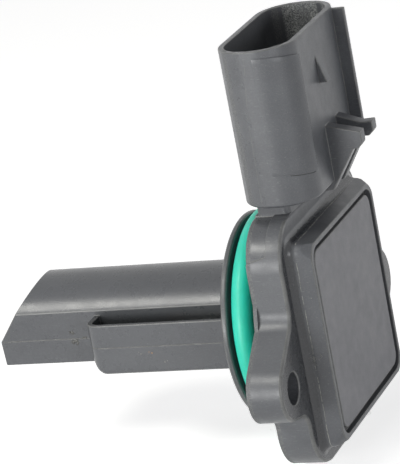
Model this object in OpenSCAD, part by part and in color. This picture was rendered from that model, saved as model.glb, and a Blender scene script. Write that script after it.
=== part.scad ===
// Plug-in mass airflow sensor: a moulded housing with a two-ear flange and a plug
// socket, a half-round probe with a bypass passage, and the circuit under a lid.
// X runs along the probe, away from its tip. Z runs along the plug socket. The
// origin lies on the probe's axis, on the face that seats on the intake pipe.

/* [Flange] */
// Thickness of the mounting plate
flange_t = 6.6; // [6:0.1:9]
// Width of the plate between its ears, along Y
plate_w = 43.4; // [42:0.2:47]
// Height of the plate, along Z
plate_h = 45.8; // [44:0.1:50]
// How far the plate's middle lies below the probe's axis
plate_drop = 0.1; // [0:0.05:0.5]
// Radius of the plate's corners
plate_r = 8.2; // [6:0.2:10]
// Radius of the round land that seats on the pipe
land_r = 23.6; // [23:0.1:24.4]
// Thickness of the round land
land_t = 0.8; // [0.5:0.1:1.2]
// Depth of the relief in the plate's upper corners
relief_d = 0.3; // [0.2:0.05:0.6]
// Width of the relief, from the seat on
relief_w = 3.7; // [2:0.1:5]
// Lower end of the relief above the probe's axis
relief_z = 17.8; // [15:0.2:19]
// Slope of the relief's lower end, in degrees
relief_tilt = 15; // [0:1:20]
// Distance between the two screw holes
screw_spacing = 52.4; // [51:0.2:58]
// How far the screw holes lie below the probe's axis
screw_drop = 4.3; // [2:0.1:6]
// Diameter of a screw hole
screw_d = 5.6; // [4.4:0.1:6.6]
// Wall of an ear round its screw hole
ear_wall = 3; // [2:0.1:4]
// Slope of an ear's upper flank, in degrees
ear_slope = 36; // [32:1:44]
// Slope of an ear's underside, in degrees
ear_rise = 12; // [4:1:14]
// Fillet between an ear's upper flank and the plate
ear_top_fillet = 4; // [2:0.2:6]
// Fillet between an ear's underside and the plate
ear_low_fillet = 3.4; // [2:0.2:4.4]

/* [Circuit box] */
// Outer width of the box at its rim, along Y
box_w = 35.6; // [34:0.2:38]
// Outer height of the box at its rim, along Z
box_h = 36.6; // [35:0.2:39]
// Corner radius of the rim
box_r = 3.6; // [3:0.2:5]
// Corner radius of the walls at their foot
foot_r = 1.2; // [1:0.1:3]
// How far the box's middle lies below the probe's axis
box_drop = 0.3; // [0:0.1:1]
// Height of the rim above the plate
box_rise = 4.2; // [3.8:0.1:7]
// How much each wall leans out from the rim to its foot
box_draft = 0.7; // [0.3:0.1:1]
// Fillet round the foot of the box
box_fillet = 2; // [1.6:0.1:3]
// Width of the rim's flat top
rim_w = 0.85; // [0.6:0.05:1.2]
// Gap between the rim and the lid's edge
lid_gap = 0.85; // [0.6:0.05:1.2]
// Width of the ledge that the lid rests on
ledge_w = 1.7; // [1.2:0.1:2.2]
// Thickness of the lid
lid_t = 1.5; // [1.2:0.1:2]
// How far the lid lies below the rim
lid_sunk = 0.2; // [0.1:0.05:0.6]
// Wall of the locating rib under the lid
lid_rib_t = 1; // [0.8:0.1:1.4]
// Depth of the locating rib under the lid
lid_rib_h = 0.9; // [0.5:0.1:1.2]
// Clearance round the locating rib
rib_clear = 0.15; // [0.1:0.05:0.3]
// Height of the adhesive bead in the lid's gap
bead_h = 0.8; // [0.5:0.1:1.1]
// Floor left between the seat and the circuit cavity
cavity_floor = 2.4; // [2:0.1:3]

/* [Seal] */
// Radius of the outer lip that holds the sealing ring on
lip_r = 18.6; // [18:0.1:19]
// Thickness of the lip
lip_t = 1.2; // [1:0.1:2]
// Chamfer on the lip's edges
lip_chamfer = 0.3; // [0.2:0.05:0.4]
// Length of the groove for the sealing ring
groove_len = 5.2; // [4.4:0.1:6]
// Radius of the pilot collar between the groove and the seat
pilot_r = 17.9; // [17.5:0.1:18.2]
// Length of the pilot collar
pilot_len = 1.7; // [1:0.1:2.5]
// Section of the sealing ring
ring_d = 3.85; // [3.4:0.05:4]
// Outer radius of the sealing ring as fitted
ring_r = 19.55; // [18.9:0.05:19.8]
// Gap between the sealing ring and the pilot collar
ring_gap = 0.6; // [0.2:0.05:1]
// Clearance under the sealing ring
ring_clear = 0.05; // [0.02:0.01:0.1]

/* [Probe] */
// Radius of the probe's round back
probe_r = 10; // [9.6:0.1:11]
// Half of the probe's width between its flat sides
probe_half_w = 8.5; // [8:0.1:9]
// Depth of the probe below its axis
probe_drop = 4.5; // [4:0.1:6]
// Length of the probe from the lip to its tip
probe_len = 47.9; // [44:0.1:54]
// Angle of the slanted tip from upright, in degrees
tip_slant = 37; // [25:1:42]
// Wall round the bypass passage
probe_wall = 1.8; // [1.4:0.1:2.2]
// Half of the bypass passage's width
passage_half_w = 6.2; // [5:0.1:6.4]
// Height of the bypass passage above the probe's axis
passage_rise = 6; // [5.6:0.1:7]
// Length of the bypass passage
passage_len = 33; // [30:0.5:36]
// Length of the air inlet under the tip
inlet_len = 11; // [8:0.5:14]
// Length of the air outlet in the far side
outlet_len = 9; // [6:0.5:11]
// Height of the air outlet
outlet_h = 4.2; // [4.1:0.1:4.4]
// Depth of the tongue that seats the probe in the housing
tongue_len = 3; // [2:0.5:5]
// Shoulder round the tongue
tongue_step = 2; // [1.5:0.1:2.5]

/* [Side pocket] */
// Length of the pocket from the lip
pocket_len = 28.2; // [26:0.2:30]
// How far the pocket stands out from the probe's flat side
pocket_out = 5.6; // [5.4:0.1:6]
// Wall of the pocket
pocket_wall = 1; // [0.8:0.05:1.2]
// Height of the pocket's rim above the probe's axis
pocket_rise = 4.3; // [4:0.1:5]
// Depth of the pocket below the probe's axis
pocket_drop = 5.2; // [4.8:0.1:6]
// Radius of the pocket's round end, seen from above
pocket_end_r = 2.6; // [2:0.1:4]
// Radius of the pocket's lower corner, seen from the side
pocket_low_r = 2.9; // [2:0.1:4.4]
// Length of the temperature bead
bead_len = 4; // [3:0.1:5]
// Diameter of the temperature bead
bead_d = 2.2; // [1.8:0.1:2.4]
// Length of the bead's leads outside the lip
lead_out = 11; // [6:0.5:14]
// Diameter of the bead's leads
lead_d = 0.5; // [0.4:0.05:0.6]
// Distance between the bead's leads
lead_pitch = 1.2; // [1:0.1:1.4]

/* [Plug socket] */
// Thickness of the socket's shell, along X
shroud_w = 14; // [13.4:0.1:15]
// Width of the socket's shell, along Y
shroud_d = 31.5; // [30:0.1:33]
// Radius of the shell's corners
shroud_r = 6.6; // [4:0.1:6.7]
// Wall of the shell
shroud_wall = 1.05; // [0.9:0.05:1.3]
// Length of the shell
shroud_len = 28; // [26:0.1:32]
// Middle of the shell above the seat, along X
shroud_x = 4.95; // [4.6:0.05:5.6]
// Height of the neck under the shell
neck_h = 1.9; // [1.6:0.1:4]
// Thickness of the neck, along X, back from the plate's outer face
neck_w = 6.1; // [5:0.1:6.5]
// Width of the neck, along Y
neck_d = 26.4; // [23:0.2:27]
// Radius of the neck's corners
neck_r = 1; // [0.8:0.1:3]
// Radius of the edge under the shell
shroud_foot_r = 0.6; // [0.4:0.1:1.4]
// Depth of the socket
socket_depth = 21.3; // [18:0.1:22]
// Distance between terminals
terminal_pitch = 4; // [3.6:0.1:4.2]
// Width of a terminal's blade
blade_w = 1.5; // [1.2:0.1:1.6]
// Thickness of a terminal's blade
blade_t = 0.64; // [0.6:0.02:0.8]
// How far a blade stands up in the socket
blade_out = 12.5; // [9:0.5:15]
// Height that the corner pad stands out
pad_t = 0.3; // [0.2:0.05:0.5]
// Where the corner pad's sharp edge lies, from the middle
pad_edge = 10; // [9:0.1:11]
// Tilt of the corner pad's ends, in degrees
pad_tilt = 12; // [0:1:15]
// Gap between the corner pad and the shell's mouth
pad_gap = 2.6; // [1.5:0.1:4]
// Length of the corner pad
pad_len = 20.8; // [18:0.1:21]
// Width of the catch that holds the plug
catch_w = 2; // [1.6:0.1:3]
// Height of the catch
catch_h = 1.5; // [1.2:0.1:2]
// Length of the catch's slope
catch_len = 5; // [4:0.1:6]
// Gap between the catch and the shell's mouth
catch_gap = 5.3; // [4:0.1:7]
// Where the catch's middle lies, from the middle
catch_y = -1; // [-1:0.1:0]
// Height of the key rail
rail_h = 2; // [1.6:0.1:3]
// Thickness of the key rail
rail_t = 1; // [1:0.1:2]
// Where the key rail's near side lies, from the middle
rail_y = 10.7; // [8:0.1:11]
// Gap between the key rail and the shell's mouth
rail_gap = 0.6; // [0.6:0.1:2]
// Length of the key rail
rail_len = 22; // [18:0.5:24]
// How far a fork arm reaches out
fork_out = 6.2; // [5:0.1:7]
// How much further the far arm reaches
fork_far = 0.3; // [0.2:0.1:1]
// How far the far arm's end turns up
fork_lift = 0.1; // [0.05:0.05:0.4]
// How much thinner the far arm's end is
fork_thin = 0.4; // [0.2:0.1:0.8]
// Thickness of a fork arm
fork_t = 2.3; // [1.8:0.1:2.6]
// Gap between the fork arms
fork_gap = 3.6; // [3:0.1:4.4]
// Where the gap's middle lies, from the middle
fork_y = 0.9; // [0:0.1:1.2]
// Height of a fork arm's root above the shell's foot
fork_root = 10.3; // [9.6:0.1:11]
// How far a fork arm's top falls to its end
fork_fall = 1.5; // [0:0.1:2.2]
// Height of a fork arm's blunt end
fork_end = 3.1; // [2.6:0.1:3.5]
// Corner cut under a fork arm's end
fork_nick = 0.9; // [0.4:0.1:1.1]
// How far the gussets run down past the shell's foot
gusset_drop = 1.5; // [1:0.1:2]

/* [Circuit] */
// Thickness of the aluminium base plate
base_t = 1.5; // [1:0.1:1.8]
// Gap between the base plate and the cavity's walls
base_gap = 0.9; // [0.6:0.1:1.2]
// Thickness of the circuit board
board_t = 0.8; // [0.6:0.1:1]
// How far the board's edge lies inside the base plate's
board_inset = 0.8; // [0.6:0.1:1.2]
// Side of the control chip
chip_s = 6.4; // [5:0.1:7]
// Side of the amplifier chip
amp_s = 3.6; // [3:0.1:4]
// Thickness of the chips
chip_t = 1; // [0.8:0.1:1.1]
// Height of a capacitor, along Z
cap_h = 1.9; // [1.6:0.1:2]
// Distance between the capacitors and the board's lower edge
cap_edge = 1.2; // [0.8:0.1:1.6]
// Gap between the capacitors and the chips
chip_gap = 0.6; // [0.4:0.1:1]
// Diameter of a sensing post
post_d = 0.8; // [0.7:0.05:1]
// Distance between the hot and cold pairs of posts
pair_gap = 4.6; // [4:0.1:5]
// Distance between the two posts of a pair
post_gap = 2.8; // [2.4:0.1:3]
// Height of a pair's lower post above the probe's axis
post_z = 1.4; // [1.2:0.1:1.6]
// Length of the hot pair outside the lip
hot_out = 36; // [34:0.5:38]
// Length of the cold pair outside the lip
cold_out = 31; // [28:0.5:33]
// Diameter of a sensing element
element_d = 0.9; // [0.7:0.1:1.2]
// Thickness of a bonding strap
strap_t = 0.25; // [0.2:0.05:0.3]
// Width of a bonding strap
strap_w = 0.8; // [0.6:0.1:1]

/* [Hidden] */
$fn = 64;
terminal_count = 6;
eps = 0.01;

// Places along X
lip_x = -(lip_t + groove_len + pilot_len);
tip_x = lip_x - probe_len;
rim_x = flange_t + box_rise;
lid_x = rim_x - lid_sunk - lid_t;
cavity_x = cavity_floor;
base_x = cavity_x;
board_x = base_x + base_t;
board_top = board_x + board_t;
ring_x = -pilot_len - ring_gap - ring_d / 2;
shell_x = shroud_x + shroud_w / 2;

// Places along Z
plate_top = plate_h / 2 - plate_drop;
shroud_z = plate_top + neck_h;
mouth_z = shroud_z + shroud_len;
socket_z = mouth_z - socket_depth;

// Sizes that follow from the ones above
ear_r = screw_d / 2 + ear_wall;
seat_w = box_w - 2 * rim_w;
seat_h = box_h - 2 * rim_w;
seat_r = box_r - rim_w;
lid_w = seat_w - 2 * lid_gap;
lid_h = seat_h - 2 * lid_gap;
lid_r = seat_r - lid_gap / 2;
cavity_w = lid_w - 2 * ledge_w;
cavity_h = lid_h - 2 * ledge_w;
cavity_r = 1.6;
corner_ease = 0.15;
base_w = cavity_w - 2 * base_gap;
base_h = cavity_h - 2 * base_gap;
board_w = base_w - 2 * board_inset;
board_h = base_h - 2 * board_inset;
board_low = -board_h / 2 - box_drop;
cap_z = board_low + cap_edge + cap_h / 2;
chip_low = cap_z + cap_h / 2 + chip_gap;
pocket_y = probe_half_w + pocket_out;
pocket_slot = pocket_out - pocket_wall;
pocket_mid = probe_half_w + pocket_slot / 2;
passage_x = tip_x + passage_rise * tan(tip_slant) + probe_wall;
window_w = pair_gap + 4;
window_low = post_z - 1.8;
window_h = post_gap + 3.6;
lead_notch = pocket_mid - 1.6;
lead_z = 1.4;
cavity_top = cavity_h / 2 - box_drop;
terminal_low = cavity_top - 1.9;
shelf_h = 2.4;

// Extrudes an outline drawn in Y and Z along X, from x on.
module along_x(x, length) {
    translate([x, 0, 0]) rotate([90, 0, 90]) linear_extrude(length) children();
}

// Extrudes an outline drawn in X and Z along Y, from y on.
module along_y(y, length) {
    translate([0, y + length, 0]) rotate([90, 0, 0]) linear_extrude(length) children();
}

// A round rod along X.
module rod_x(x, length, d, y = 0, z = 0) {
    translate([x, y, z]) rotate([0, 90, 0]) cylinder(h = length, d = d);
}

// A rectangle with round corners.
module rounded(w, h, r) {
    square([w - 2 * r, h], center = true);
    square([w, h - 2 * r], center = true);
    for (y = [-1, 1], z = [-1, 1])
        translate([y * (w / 2 - r), z * (h / 2 - r)]) circle(r);
}

// Carries a profile round a rounded rectangle: x is outwards from it, y is up.
module around(w, h, r) {
    for (turn = [0, 90, 180, 270]) {
        long = turn % 180 == 0 ? h : w;
        wide = turn % 180 == 0 ? w : h;
        rotate(turn) {
            translate([wide / 2, r - long / 2, 0]) rotate([90, 0, 180]) mirror([1, 0, 0])
                linear_extrude(long - 2 * r) children();
            translate([wide / 2 - r, long / 2 - r, 0])
                rotate_extrude(angle = 90) translate([r, 0]) children();
        }
    }
}

// Fills the corner between two straight edges with a fillet of radius r.
module corner_fillet(corner, a, b, r) {
    half = (b - a) / 2;
    t = r / tan(half);
    reach = r / sin(half);
    middle = corner + reach * [cos(a + half), sin(a + half)];
    inside = corner - 0.5 * [cos(a + half), sin(a + half)];
    difference() {
        polygon([inside, corner + t * [cos(a), sin(a)], middle, corner + t * [cos(b), sin(b)]]);
        translate(middle) circle(r);
    }
}

// One screw ear, drawn on the +Y side in Y and Z.
module ear_outline() {
    side = plate_w / 2;
    ear_y = screw_spacing / 2;
    top_z = (ear_r - (side - ear_y) * sin(ear_slope)) / cos(ear_slope) - screw_drop;
    low_z = -(ear_r - (side - ear_y) * sin(ear_rise)) / cos(ear_rise) - screw_drop;
    top_touch = [ear_y + ear_r * sin(ear_slope), ear_r * cos(ear_slope) - screw_drop];
    low_touch = [ear_y + ear_r * sin(ear_rise), -ear_r * cos(ear_rise) - screw_drop];
    polygon([[side - 3, top_z], [side, top_z], top_touch, low_touch, [side, low_z], [side - 3, low_z]]);
    translate([ear_y, -screw_drop]) circle(ear_r);
    corner_fillet([side, top_z], -ear_slope, 90, ear_top_fillet);
    corner_fillet([side, low_z], -90, ear_rise, ear_low_fillet);
}

// The relief of the upper corner on the +Y side.
module corner_relief() {
    difference() {
        along_x(-1, relief_w + 1) difference() {
            translate([neck_d / 2, 9]) square([plate_w, plate_h]);
            translate([0, -plate_drop])
                rounded(plate_w - 2 * relief_d, plate_h - 2 * relief_d, plate_r - relief_d);
        }
        translate([relief_w, 0, relief_z]) rotate([0, -relief_tilt, 0])
            translate([-2 * plate_r, 0, -2 * plate_r]) cube([4 * plate_r, plate_w, 2 * plate_r]);
    }
}

// The plate with its two ears, and the round land that seats on the pipe.
module flange_plate() {
    difference() {
        along_x(0, flange_t) {
            translate([0, -plate_drop]) rounded(plate_w, plate_h, plate_r);
            ear_outline();
            mirror([1, 0]) ear_outline();
        }
        corner_relief();
        mirror([0, 1, 0]) corner_relief();
    }
    rotate([0, 90, 0]) cylinder(h = land_t, r = land_r);
}

// The lip, the groove's floor and the pilot collar, turned about the probe's axis.
module seal_spigot() {
    floor_r = ring_r - ring_d - ring_clear;
    rotate([0, 90, 0]) rotate_extrude() polygon([
        [0, lip_x], [lip_r - lip_chamfer, lip_x], [lip_r, lip_x + lip_chamfer],
        [lip_r, lip_x + lip_t - lip_chamfer], [lip_r - lip_chamfer, lip_x + lip_t],
        [floor_r, lip_x + lip_t], [floor_r, -pilot_len], [pilot_r, -pilot_len], [pilot_r, 1], [0, 1],
    ]);
}

// The outside of a box wall: it leans out to its foot and ends in a fillet.
module box_wall_profile() {
    difference() {
        polygon([
            [-0.8, -1], [box_draft + box_fillet, -1], [box_draft + box_fillet, box_fillet],
            [box_draft, box_fillet], [0, box_rise], [-0.8, box_rise],
        ]);
        translate([box_draft + box_fillet, box_fillet - 0.06]) circle(box_fillet);
    }
}

// The outside of the circuit box: its corners are near sharp at the foot and round at the rim.
module circuit_box() {
    taper = box_rise - box_fillet;
    reach = (box_r + box_draft - foot_r) * sqrt(2) + foot_r;
    rim_reach = box_r + corner_ease;
    slope = (reach - rim_reach) / taper;
    translate([flange_t, 0, -box_drop]) rotate([90, 0, 90]) difference() {
        union() {
            translate([0, 0, -1]) linear_extrude(box_rise + 1) rounded(box_w, box_h, foot_r);
            around(box_w, box_h, foot_r) box_wall_profile();
        }
        for (y = [-1, 1], z = [-1, 1])
            translate([y * (box_w / 2 - box_r), z * (box_h / 2 - box_r), box_fillet]) difference() {
                translate([y * reach / 2, z * reach / 2, taper]) cube([reach, reach, 2 * taper], center = true);
                cylinder(h = taper + 1, r1 = reach, r2 = rim_reach - slope);
            }
    }
}

// The round edge under the shell.
module shell_foot() {
    inner_w = shroud_w - 2 * shroud_foot_r;
    inner_d = shroud_d - 2 * shroud_foot_r;
    inner_r = shroud_r - shroud_foot_r;
    linear_extrude(shroud_foot_r + eps) rounded(inner_w, inner_d, inner_r);
    around(inner_w, inner_d, inner_r) intersection() {
        translate([0, shroud_foot_r]) circle(shroud_foot_r);
        square(shroud_foot_r + eps);
    }
}

// The socket's shell, with the neck that carries it.
module socket_shell() {
    translate([shroud_x, 0, shroud_z]) {
        shell_foot();
        translate([0, 0, shroud_foot_r]) linear_extrude(shroud_len - shroud_foot_r)
            rounded(shroud_w, shroud_d, shroud_r);
    }
    neck_low = plate_top - 1;
    translate([flange_t - neck_w / 2, 0, neck_low])
        linear_extrude(neck_h + shroud_foot_r + 1) rounded(neck_w, neck_d, neck_r);
}

// The raised pad round one corner of the shell.
module corner_pad() {
    top = mouth_z - pad_gap;
    intersection() {
        translate([shroud_x + pad_t, 0, top - pad_len]) linear_extrude(mouth_z - top + pad_len)
            rounded(shroud_w, shroud_d, shroud_r);
        translate([shroud_x, -pad_edge, top]) rotate([-pad_tilt, 0, 0])
            translate([0, -shroud_d, -pad_len * cos(pad_tilt)])
            cube([shroud_w, shroud_d, pad_len * cos(pad_tilt)]);
    }
}

// The catch that the plug's latch snaps over.
module plug_catch() {
    top = mouth_z - catch_gap;
    along_y(catch_y - catch_w / 2, catch_w) polygon([
        [shell_x - 0.5, top + 0.5 * catch_len / catch_h], [shell_x + catch_h, top - catch_len],
        [shell_x - 0.5, top - catch_len],
    ]);
}

// The rail that keys the plug.
module key_rail() {
    top = mouth_z - rail_gap;
    translate([shell_x - 2, rail_y, top - rail_len]) cube([rail_h + 2, rail_t, rail_len]);
}

// One fork arm with its gusset, drawn in X and Z. The far arm is longer and turns up at its end.
module fork_outline(far) {
    root_z = shroud_z + fork_root;
    near_x = shell_x + fork_out;
    end_x = near_x + far * fork_far;
    end_z = root_z - fork_fall;
    low_z = end_z - fork_end + far * fork_thin;
    bend = far == 1 ? [[near_x - 2 * fork_nick, end_z - fork_lift]] : [];
    polygon(concat([[shell_x - 0.5, root_z], [shell_x, root_z]], bend, [
        [end_x, end_z], [end_x, low_z + fork_nick], [end_x - fork_nick, low_z],
        [near_x - 2 * fork_nick, low_z], [shell_x - 0.4, shroud_z - gusset_drop],
        [flange_t - 0.5, shroud_z - gusset_drop], [flange_t - 0.5, shroud_z + 1.5],
        [shell_x - 0.5, shroud_z + 1.5],
    ]));
}

module latch_fork() {
    for (far = [0, 1])
        along_y(fork_y - fork_gap / 2 - fork_t + far * (fork_gap + fork_t), fork_t) fork_outline(far);
}

// The D-shaped section of the probe above its axis.
module probe_arch(inset = 0) {
    intersection() {
        circle(probe_r - inset);
        translate([inset - probe_half_w, 0]) square([2 * (probe_half_w - inset), probe_r]);
    }
}

// One terminal: a flat blade with a chamfered tip, from the box up into the socket.
module terminal_blade(y) {
    tip = socket_z + blade_out;
    chamfer = 0.4;
    along_x(shroud_x - blade_t / 2, blade_t) polygon([
        [y - blade_w / 2, terminal_low], [y + blade_w / 2, terminal_low],
        [y + blade_w / 2, tip - 2 * chamfer], [y + blade_w / 2 - chamfer, tip],
        [y - blade_w / 2 + chamfer, tip], [y - blade_w / 2, tip - 2 * chamfer],
    ]);
}

function terminal_y(i) = (i - (terminal_count + 1) / 2) * terminal_pitch;

module terminal(i) {
    color("silver") terminal_blade(terminal_y(i));
}

module posts(x) {
    for (side = [-1, 1], k = [0, 1]) {
        out = side < 0 ? hot_out : cold_out;
        start = max(lip_x - out, x);
        rod_x(start, board_top + 0.7 - start, post_d, side * pair_gap / 2, post_z + k * post_gap);
    }
}

module leads(x) {
    for (k = [0, 1])
        rod_x(x, board_top + 0.7 - x, lead_d, -pocket_mid, lead_z + k * lead_pitch);
}

// The root tongue that bonds the probe into the housing.
module root_tongue(inset) {
    along_x(lip_x - eps, tongue_len + eps) probe_arch(inset);
}

module housing() {
    color("dimgray") difference() {
        union() {
            seal_spigot();
            flange_plate();
            circuit_box();
            socket_shell();
            corner_pad();
            plug_catch();
            key_rail();
            latch_fork();
        }
        // Screw holes
        for (side = [-1, 1])
            rod_x(-1, flange_t + 2, screw_d, side * screw_spacing / 2, -screw_drop);
        // Seat of the lid and the circuit cavity, less the shelf under the terminals
        difference() {
            translate([0, 0, -box_drop]) {
                along_x(lid_x, rim_x - lid_x + 1) rounded(seat_w, seat_h, seat_r);
                along_x(cavity_x, lid_x - cavity_x + eps) rounded(cavity_w, cavity_h, cavity_r);
            }
            translate([0, -cavity_w, cavity_top - shelf_h])
                cube([shroud_x - blade_t / 2, 2 * cavity_w, shelf_h + 1]);
        }
        // Socket
        translate([shroud_x, 0, socket_z]) linear_extrude(socket_depth + 1)
            rounded(shroud_w - 2 * shroud_wall, shroud_d - 2 * shroud_wall, shroud_r - shroud_wall);
        // Ways for the terminals, the posts and the bead's leads
        for (i = [1:terminal_count]) terminal_blade(terminal_y(i));
        posts(lip_x - 1);
        leads(lip_x - 1);
        root_tongue(tongue_step);
    }
}

// The outside of the probe and its side pocket.
module probe_outside() {
    long = probe_len + 1;
    difference() {
        along_x(tip_x - 1, long) {
            probe_arch();
            translate([-probe_half_w, -probe_drop]) square([2 * probe_half_w, probe_drop]);
        }
        // Slanted end above the axis, square end below it
        along_y(-probe_r, 2 * probe_r) polygon([
            [tip_x - 2, -probe_drop - 1], [tip_x + 0.2, -probe_drop - 1], [tip_x, 0],
            [tip_x + 12 * tan(tip_slant), 12], [tip_x - 2, 12],
        ]);
    }
    pocket_outside();
}

module pocket_outside() {
    end_x = lip_x - pocket_len;
    intersection() {
        translate([0, 0, -pocket_drop]) linear_extrude(pocket_drop + pocket_rise) {
            translate([end_x + pocket_end_r, -pocket_y])
                square([pocket_len - pocket_end_r, pocket_out + 0.6]);
            translate([end_x, pocket_end_r - pocket_y])
                square([pocket_len, pocket_out + 0.6 - pocket_end_r]);
            translate([end_x + pocket_end_r, pocket_end_r - pocket_y]) circle(pocket_end_r);
        }
        along_y(-pocket_y - 1, pocket_out + 3) {
            translate([end_x + pocket_low_r, -pocket_drop])
                square([pocket_len - pocket_low_r, pocket_drop + pocket_rise]);
            translate([end_x, pocket_low_r - pocket_drop])
                square([pocket_len, pocket_drop + pocket_rise - pocket_low_r]);
            translate([end_x + pocket_low_r, pocket_low_r - pocket_drop]) circle(pocket_low_r);
        }
    }
}

// The slot inside the side pocket, open at the top.
module pocket_slot_cut() {
    end_x = lip_x - pocket_len + pocket_wall;
    r = pocket_end_r - pocket_wall;
    low = -pocket_drop + pocket_wall;
    translate([0, 0, low]) linear_extrude(pocket_rise - low + 1) {
        translate([end_x + r, -pocket_y + pocket_wall]) square([lip_x - end_x - r + 1, pocket_slot]);
        translate([end_x, -pocket_y + pocket_wall + r]) square([r + 1, pocket_slot - r]);
        translate([end_x + r, -pocket_y + pocket_wall + r]) circle(r);
    }
}

// The bypass passage: in under the tip, along the probe and out of its far side.
module bypass_passage() {
    translate([passage_x, -passage_half_w, -1.6])
        cube([passage_len, 2 * passage_half_w, passage_rise + 1.6]);
    translate([passage_x, -passage_half_w, -probe_drop - 1])
        cube([inlet_len, 2 * passage_half_w, probe_drop + 2]);
    translate([passage_x + passage_len - outlet_len, passage_half_w - 1, 0.4])
        cube([outlet_len, probe_half_w - passage_half_w + 2, outlet_h]);
}

module probe_body() {
    color("dimgray") {
        difference() {
            intersection() {
                probe_outside();
                translate([tip_x - 1, -pocket_y - 1, 0]) cube([probe_len + 1, 3 * pocket_y, probe_r + 1]);
            }
            bypass_passage();
            pocket_slot_cut();
            posts(passage_x);
        }
        difference() {
            root_tongue(tongue_step);
            posts(lip_x - 1);
        }
    }
}

module bypass_cover() {
    color("dimgray") difference() {
        intersection() {
            probe_outside();
            translate([tip_x - 1, -pocket_y - 1, -probe_r]) cube([probe_len + 1, 3 * pocket_y, probe_r]);
        }
        bypass_passage();
        pocket_slot_cut();
    }
}

module lid() {
    rib_w = cavity_w - 2 * rib_clear;
    rib_h = cavity_h - 2 * rib_clear;
    color("gray") translate([0, 0, -box_drop]) {
        along_x(lid_x, lid_t) rounded(lid_w, lid_h, lid_r);
        along_x(lid_x - lid_rib_h, lid_rib_h + eps) difference() {
            rounded(rib_w, rib_h, cavity_r - rib_clear);
            rounded(rib_w - 2 * lid_rib_t, rib_h - 2 * lid_rib_t, 0.6);
        }
    }
}

module lid_sealant() {
    color("black") translate([0, 0, -box_drop]) along_x(lid_x, bead_h) difference() {
        rounded(seat_w, seat_h, seat_r);
        rounded(lid_w, lid_h, lid_r);
    }
}

module sealing_ring() {
    color("mediumturquoise") translate([ring_x, 0, 0]) rotate([0, 90, 0])
        rotate_extrude() translate([ring_r - ring_d / 2, 0]) circle(d = ring_d);
}

// The window for the posts and the notch for the leads, cut through plate and board.
module board_openings() {
    translate([-window_w / 2, window_low]) square([window_w, window_h]);
    translate([-cavity_w, lead_z - 1.5]) square([cavity_w - lead_notch, lead_pitch + 3]);
}

module base_plate() {
    color("lightgray") along_x(base_x, base_t) difference() {
        translate([0, -box_drop - shelf_h / 2]) rounded(base_w, base_h - shelf_h, 1);
        board_openings();
    }
}

module circuit_board() {
    color("ivory") along_x(board_x, board_t) difference() {
        translate([0, -box_drop - shelf_h / 2]) rounded(board_w, board_h - shelf_h, 0.6);
        board_openings();
    }
}

// A block that lies on the circuit board, placed by its middle.
module on_board(y, z, w, h, t) {
    translate([board_top, y - w / 2, z - h / 2]) cube([t, w, h]);
}

module control_chip() {
    color("black") on_board(board_w / 4, chip_low + chip_s / 2, chip_s, chip_s, chip_t);
}

module amplifier_chip() {
    color("black") on_board(-board_w / 4 + 0.6, chip_low + amp_s / 2, amp_s, amp_s, chip_t);
}

module capacitors() {
    color("tan") for (k = [0:3])
        on_board(-board_w / 2 + 3 + k * 2.6, cap_z, 1.3, cap_h, 0.9);
}

module resistors() {
    color("dimgray") for (k = [0:2])
        on_board(board_w / 2 - 2.6 - k * 2.2, board_h / 4 - 2.4, 1.1, 1.8, 0.45);
}

module sensing_posts() {
    color("silver") posts(-100);
}

// A wound element welded across the two posts of a pair.
module element(side, out) {
    x = lip_x - out + 1;
    y = side * pair_gap / 2;
    translate([x, y, post_z + post_d / 2]) cylinder(h = post_gap - post_d, d = element_d / 2);
    translate([x, y, post_z + post_gap / 2 - 0.6]) cylinder(h = 1.2, d = element_d);
}

module hot_element() {
    color("white") element(-1, hot_out);
}

module cold_element() {
    color("white") element(1, cold_out);
}

// The coated bead that measures the air's temperature.
module temperature_bead() {
    r = bead_d / 2;
    color("saddlebrown") difference() {
        translate([lip_x - lead_out - bead_len, -pocket_mid, lead_z + lead_pitch / 2])
            rotate([0, 90, 0]) rotate_extrude() intersection() {
                union() {
                    translate([0, r]) circle(r);
                    translate([0, bead_len - r]) circle(r);
                    translate([0, r]) square([r, bead_len - 2 * r]);
                }
                square([r, bead_len]);
            }
        leads(lip_x - lead_out - bead_len / 2);
    }
}

module bead_leads() {
    color("silver") leads(lip_x - lead_out - bead_len / 2);
}

// A strap from a terminal's end down to the board, drawn in X and Z.
module terminal_strap_outline() {
    high = shroud_x + blade_t / 2;
    edge = board_h / 2 - box_drop - shelf_h;
    polygon([
        [high, terminal_low + 1.4], [high, terminal_low - 0.2], [board_top, edge - 0.8],
        [board_top, edge - 1.8], [board_top + strap_t, edge - 1.8], [board_top + strap_t, edge - 0.8],
        [high + strap_t, terminal_low - 0.2], [high + strap_t, terminal_low + 1.4],
    ]);
}

module bonding_straps() {
    color("gold") {
        for (i = [1:terminal_count])
            along_y(terminal_y(i) - strap_w / 2, strap_w) terminal_strap_outline();
    }
}

module gel_filling() {
    gel_top = lid_x - lid_rib_h - 0.3;
    color("lightsteelblue") difference() {
        translate([0, 0, -box_drop - shelf_h / 2])
            along_x(board_top, gel_top - board_top) rounded(board_w, board_h - shelf_h, 0.6);
        control_chip();
        amplifier_chip();
        capacitors();
        resistors();
        posts(0);
        leads(0);
        bonding_straps();
    }
}

module terminal_1() { terminal(1); }
module terminal_2() { terminal(2); }
module terminal_3() { terminal(3); }
module terminal_4() { terminal(4); }
module terminal_5() { terminal(5); }
module terminal_6() { terminal(6); }

housing();
probe_body();
bypass_cover();
lid();
lid_sealant();
sealing_ring();
base_plate();
circuit_board();
control_chip();
amplifier_chip();
capacitors();
resistors();
sensing_posts();
hot_element();
cold_element();
temperature_bead();
bead_leads();
bonding_straps();
gel_filling();
terminal_1();
terminal_2();
terminal_3();
terminal_4();
terminal_5();
terminal_6();
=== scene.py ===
import math

import bmesh
import bpy
import numpy as np
from mathutils import Matrix, Vector


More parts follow.
